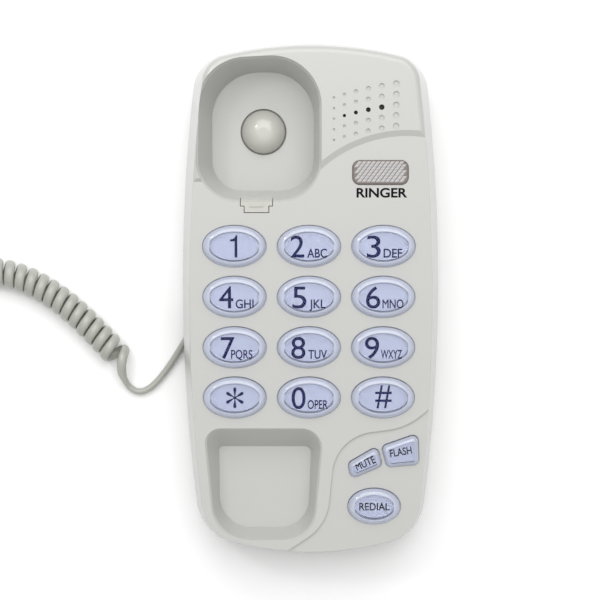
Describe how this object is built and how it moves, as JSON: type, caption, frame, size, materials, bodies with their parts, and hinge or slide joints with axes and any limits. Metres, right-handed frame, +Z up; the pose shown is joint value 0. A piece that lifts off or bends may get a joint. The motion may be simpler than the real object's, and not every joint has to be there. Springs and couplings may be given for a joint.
{
  "type": "corded telephone base",
  "caption": "Corded desk telephone base with clear domed dialling keys, handset cradle wells, hook button, hanging tab, ringer lens and a curly handset cord.",
  "frame": {"origin": "centre of the footprint of the phone's base, at the surface its rubber feet stand on", "axes": "+Z up, +Y to the rear edge with the line jack, +X to the user's right; the face rises 5 degrees towards +Y"},
  "size_m": [0.2247, 0.2434, 0.051],
  "materials": {
    "housing_ivory": "moulded gloss with a fine grain",
    "housing_under": "moulded satin",
    "key_clear": "clear domed cap, polished",
    "legend_white": "white card under the clear cap",
    "hook_ivory": "moulded gloss",
    "spring_steel": "bright drawn wire",
    "switch_black": "moulded black",
    "board_green": "lacquered circuit board",
    "screw_steel": "zinc plated",
    "lens_smoke": "clear smoke lens with a hatched back",
    "lamp_glass": "clear lamp dome",
    "mat_rubber": "pale silicone, matt",
    "ballast_steel": "dull zinc primer",
    "feet_rubber": "matt rubber",
    "jack_grey": "moulded satin grey",
    "knob_black": "moulded black",
    "plug_clear": "clear polished plug",
    "cord_ivory": "smooth soft vinyl"
  },
  "bodies": {
    "base": {"top_housing": "housing_ivory", "bottom_housing": "housing_under", "hook_spring": "spring_steel", "hook_switch": "switch_black", "hook_board": "board_green", "hook_board_screws": "screw_steel", "ringer_lens": "lens_smoke", "ringer_lamp": "lamp_glass", "ringer_sounder": "switch_black", "keypad_mat": "mat_rubber", "keypad_board": "board_green", "board_screws": "screw_steel", "housing_screws": "screw_steel", "ballast_plate": "ballast_steel", "ballast_screws": "screw_steel", "rubber_feet": "feet_rubber", "line_jack": "jack_grey", "handset_jack": "jack_grey", "ringer_switch_body": "switch_black", "dial_switch_body": "switch_black", "cord_base_plug": "plug_clear", "cord_tail": "cord_ivory", "cord_curls": "cord_ivory", "cord_end": "cord_ivory", "cord_far_plug": "plug_clear"},
    "key_1": {"key_1": "key_clear", "key_1_legend_pad": "legend_white"},
    "key_2": {"key_2": "key_clear", "key_2_legend_pad": "legend_white"},
    "key_3": {"key_3": "key_clear", "key_3_legend_pad": "legend_white"},
    "key_4": {"key_4": "key_clear", "key_4_legend_pad": "legend_white"},
    "key_5": {"key_5": "key_clear", "key_5_legend_pad": "legend_white"},
    "key_6": {"key_6": "key_clear", "key_6_legend_pad": "legend_white"},
    "key_7": {"key_7": "key_clear", "key_7_legend_pad": "legend_white"},
    "key_8": {"key_8": "key_clear", "key_8_legend_pad": "legend_white"},
    "key_9": {"key_9": "key_clear", "key_9_legend_pad": "legend_white"},
    "key_star": {"key_star": "key_clear", "key_star_legend_pad": "legend_white"},
    "key_0": {"key_0": "key_clear", "key_0_legend_pad": "legend_white"},
    "key_hash": {"key_hash": "key_clear", "key_hash_legend_pad": "legend_white"},
    "redial_key": {"redial_key": "key_clear", "redial_key_legend_pad": "legend_white"},
    "mute_key": {"mute_key": "key_clear", "mute_key_legend_pad": "legend_white"},
    "flash_key": {"flash_key": "key_clear", "flash_key_legend_pad": "legend_white"},
    "hook_button": {"hook_button": "hook_ivory"},
    "handset_tab": {"handset_tab": "hook_ivory"},
    "ringer_switch_knob": {"ringer_switch_knob": "knob_black"},
    "dial_switch_knob": {"dial_switch_knob": "knob_black"}
  },
  "joints": [
    {"name": "key_1_press", "type": "slide", "parent": "base", "child": "key_1", "axis": [0, 0.0872, -0.9962], "range_m": [0, 0.0016], "stiffness_N_per_m": 300, "springref_m": -0.001, "deforming": ["keypad_mat"]},
    {"name": "key_2_press", "type": "slide", "parent": "base", "child": "key_2", "axis": [0, 0.0872, -0.9962], "range_m": [0, 0.0016], "stiffness_N_per_m": 300, "springref_m": -0.001, "deforming": ["keypad_mat"]},
    {"name": "key_3_press", "type": "slide", "parent": "base", "child": "key_3", "axis": [0, 0.0872, -0.9962], "range_m": [0, 0.0016], "stiffness_N_per_m": 300, "springref_m": -0.001, "deforming": ["keypad_mat"]},
    {"name": "key_4_press", "type": "slide", "parent": "base", "child": "key_4", "axis": [0, 0.0872, -0.9962], "range_m": [0, 0.0016], "stiffness_N_per_m": 300, "springref_m": -0.001, "deforming": ["keypad_mat"]},
    {"name": "key_5_press", "type": "slide", "parent": "base", "child": "key_5", "axis": [0, 0.0872, -0.9962], "range_m": [0, 0.0016], "stiffness_N_per_m": 300, "springref_m": -0.001, "deforming": ["keypad_mat"]},
    {"name": "key_6_press", "type": "slide", "parent": "base", "child": "key_6", "axis": [0, 0.0872, -0.9962], "range_m": [0, 0.0016], "stiffness_N_per_m": 300, "springref_m": -0.001, "deforming": ["keypad_mat"]},
    {"name": "key_7_press", "type": "slide", "parent": "base", "child": "key_7", "axis": [0, 0.0872, -0.9962], "range_m": [0, 0.0016], "stiffness_N_per_m": 300, "springref_m": -0.001, "deforming": ["keypad_mat"]},
    {"name": "key_8_press", "type": "slide", "parent": "base", "child": "key_8", "axis": [0, 0.0872, -0.9962], "range_m": [0, 0.0016], "stiffness_N_per_m": 300, "springref_m": -0.001, "deforming": ["keypad_mat"]},
    {"name": "key_9_press", "type": "slide", "parent": "base", "child": "key_9", "axis": [0, 0.0872, -0.9962], "range_m": [0, 0.0016], "stiffness_N_per_m": 300, "springref_m": -0.001, "deforming": ["keypad_mat"]},
    {"name": "key_star_press", "type": "slide", "parent": "base", "child": "key_star", "axis": [0, 0.0872, -0.9962], "range_m": [0, 0.0016], "stiffness_N_per_m": 300, "springref_m": -0.001, "deforming": ["keypad_mat"]},
    {"name": "key_0_press", "type": "slide", "parent": "base", "child": "key_0", "axis": [0, 0.0872, -0.9962], "range_m": [0, 0.0016], "stiffness_N_per_m": 300, "springref_m": -0.001, "deforming": ["keypad_mat"]},
    {"name": "key_hash_press", "type": "slide", "parent": "base", "child": "key_hash", "axis": [0, 0.0872, -0.9962], "range_m": [0, 0.0016], "stiffness_N_per_m": 300, "springref_m": -0.001, "deforming": ["keypad_mat"]},
    {"name": "redial_key_press", "type": "slide", "parent": "base", "child": "redial_key", "axis": [0, 0.0872, -0.9962], "range_m": [0, 0.0015], "stiffness_N_per_m": 300, "springref_m": -0.001, "deforming": ["keypad_mat"]},
    {"name": "mute_key_press", "type": "slide", "parent": "base", "child": "mute_key", "axis": [0, 0.0872, -0.9962], "range_m": [0, 0.0015], "stiffness_N_per_m": 300, "springref_m": -0.001, "deforming": ["keypad_mat"]},
    {"name": "flash_key_press", "type": "slide", "parent": "base", "child": "flash_key", "axis": [0, 0.0872, -0.9962], "range_m": [0, 0.0015], "stiffness_N_per_m": 300, "springref_m": -0.001, "deforming": ["keypad_mat"]},
    {"name": "hook_press", "type": "slide", "parent": "base", "child": "hook_button", "axis": [0, 0.0872, -0.9962], "range_m": [0, 0.005], "stiffness_N_per_m": 150, "springref_m": -0.003, "deforming": ["hook_spring"]},
    {"name": "tab_slide", "type": "slide", "parent": "base", "child": "handset_tab", "axis": [0, 0.9962, 0.0872], "range_m": [0, 0.009]},
    {"name": "ringer_switch_slide", "type": "slide", "parent": "base", "child": "ringer_switch_knob", "axis": [1, 0, 0], "range_m": [-0.002, 0.002]},
    {"name": "dial_switch_slide", "type": "slide", "parent": "base", "child": "dial_switch_knob", "axis": [1, 0, 0], "range_m": [-0.002, 0.002]}
  ]
}
